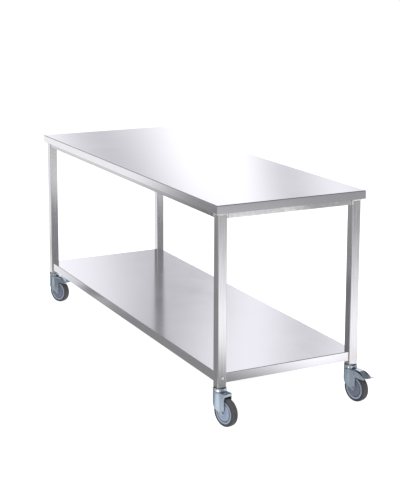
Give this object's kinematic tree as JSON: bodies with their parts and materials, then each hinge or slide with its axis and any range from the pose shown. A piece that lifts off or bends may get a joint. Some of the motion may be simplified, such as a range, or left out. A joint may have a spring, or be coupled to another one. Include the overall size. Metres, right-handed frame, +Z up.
{
  "type": "stainless work table",
  "caption": "Long stainless steel work table on wheels: folded-edge worktop, square-tube legs, lower shelf and swivel casters, some with a brake pedal.",
  "frame": {"origin": "on the floor under the middle of the outline, casters included; the middle of the worktop lies 45 mm from it towards -X and 3.5 mm towards -Y, because the casters are parked trailing past the right end", "axes": "+X along the worktop towards the right end, +Y from the front side to the back, +Z up, floor at zero"},
  "size_m": [2.0906, 0.7071, 0.913],
  "materials": {
    "worktop_sheet": "smooth satin stainless sheet, folded edge, ground corners",
    "frame_tube": "ground stainless square tube, brushed along its length, welded joints",
    "shelf_sheet": "cold-rolled stainless sheet with a soft blurred reflection",
    "core_board": "moisture-resistant chipboard under the worktop",
    "zinc_fork": "blue passivated zinc on pressed steel, satin",
    "bright_zinc": "bright blue-white zinc plating, glossy",
    "fastener_steel": "zinc-plated fastener steel",
    "bearing_steel": "ground bearing steel",
    "spring_steel": "blued spring steel strip",
    "black_plastic": "black glass-filled nylon, matt",
    "grey_plastic": "blue-grey moulded polypropylene, fine matt grain",
    "tyre_rubber": "dark grey thermoplastic rubber tread, matt"
  },
  "bodies": {
    "table": {"worktop_skin": "worktop_sheet", "worktop_core": "core_board", "top_rail_front": "frame_tube", "top_rail_back": "frame_tube", "top_rail_left": "frame_tube", "top_rail_right": "frame_tube", "top_fixing_screws": "fastener_steel", "shelf_pan": "shelf_sheet", "shelf_stiffeners": "shelf_sheet", "leg_inserts": "black_plastic", "stem_bolts": "fastener_steel", "swivel_cups": "bright_zinc", "swivel_balls": "bearing_steel", "leg_front_right": "frame_tube", "leg_back_right": "frame_tube", "leg_front_left": "frame_tube", "leg_back_left": "frame_tube"},
    "caster_front_right": {"fork_front_right": "zinc_fork", "axle_bolt_front_right": "fastener_steel", "axle_nut_front_right": "fastener_steel", "axle_sleeve_front_right": "bearing_steel", "thread_guards_front_right": "grey_plastic"},
    "wheel_front_right": {"wheel_core_front_right": "grey_plastic", "tyre_front_right": "tyre_rubber", "wheel_bearings_front_right": "bearing_steel"},
    "caster_back_right": {"fork_back_right": "zinc_fork", "axle_bolt_back_right": "fastener_steel", "axle_nut_back_right": "fastener_steel", "axle_sleeve_back_right": "bearing_steel", "thread_guards_back_right": "grey_plastic", "brake_pin_back_right": "bearing_steel"},
    "wheel_back_right": {"wheel_core_back_right": "grey_plastic", "tyre_back_right": "tyre_rubber", "wheel_bearings_back_right": "bearing_steel"},
    "pedal_back_right": {"brake_pedal_back_right": "bright_zinc", "brake_spring_back_right": "spring_steel"},
    "caster_front_left": {"fork_front_left": "zinc_fork", "axle_bolt_front_left": "fastener_steel", "axle_nut_front_left": "fastener_steel", "axle_sleeve_front_left": "bearing_steel", "thread_guards_front_left": "grey_plastic", "brake_pin_front_left": "bearing_steel"},
    "wheel_front_left": {"wheel_core_front_left": "grey_plastic", "tyre_front_left": "tyre_rubber", "wheel_bearings_front_left": "bearing_steel"},
    "pedal_front_left": {"brake_pedal_front_left": "bright_zinc", "brake_spring_front_left": "spring_steel"},
    "caster_back_left": {"fork_back_left": "zinc_fork", "axle_bolt_back_left": "fastener_steel", "axle_nut_back_left": "fastener_steel", "axle_sleeve_back_left": "bearing_steel", "thread_guards_back_left": "grey_plastic"},
    "wheel_back_left": {"wheel_core_back_left": "grey_plastic", "tyre_back_left": "tyre_rubber", "wheel_bearings_back_left": "bearing_steel"}
  },
  "joints": [
    {"name": "swivel_front_right", "type": "hinge", "parent": "table", "child": "caster_front_right", "pos_m": [0.921, -0.3195, 0.139], "axis": [0, 0, 1], "continuous": true},
    {"name": "roll_front_right", "type": "hinge", "parent": "caster_front_right", "child": "wheel_front_right", "pos_m": [0.95892, -0.3104, 0.059], "axis": [-0.2334, 0.9724, 0], "continuous": true},
    {"name": "swivel_back_right", "type": "hinge", "parent": "table", "child": "caster_back_right", "pos_m": [0.921, 0.3125, 0.139], "axis": [0, 0, 1], "continuous": true},
    {"name": "roll_back_right", "type": "hinge", "parent": "caster_back_right", "child": "wheel_back_right", "pos_m": [0.95928, 0.31994, 0.059], "axis": [-0.1908, 0.9816, 0], "continuous": true},
    {"name": "press_back_right", "type": "hinge", "parent": "caster_back_right", "child": "pedal_back_right", "pos_m": [0.99953, 0.32776, 0.1225], "axis": [-0.1908, 0.9816, 0], "range_deg": [0, 13]},
    {"name": "swivel_front_left", "type": "hinge", "parent": "table", "child": "caster_front_left", "pos_m": [-1.011, -0.3195, 0.139], "axis": [0, 0, 1], "continuous": true},
    {"name": "roll_front_left", "type": "hinge", "parent": "caster_front_left", "child": "wheel_front_left", "pos_m": [-0.97565, -0.30302, 0.059], "axis": [-0.4226, 0.9063, 0], "continuous": true},
    {"name": "press_front_left", "type": "hinge", "parent": "caster_front_left", "child": "pedal_front_left", "pos_m": [-0.93849, -0.28569, 0.1225], "axis": [-0.4226, 0.9063, 0], "range_deg": [0, 13]},
    {"name": "swivel_back_left", "type": "hinge", "parent": "table", "child": "caster_back_left", "pos_m": [-1.011, 0.3125, 0.139], "axis": [0, 0, 1], "continuous": true},
    {"name": "roll_back_left", "type": "hinge", "parent": "caster_back_left", "child": "wheel_back_left", "pos_m": [-0.97351, 0.32325, 0.059], "axis": [-0.2756, 0.9613, 0], "continuous": true}
  ]
}
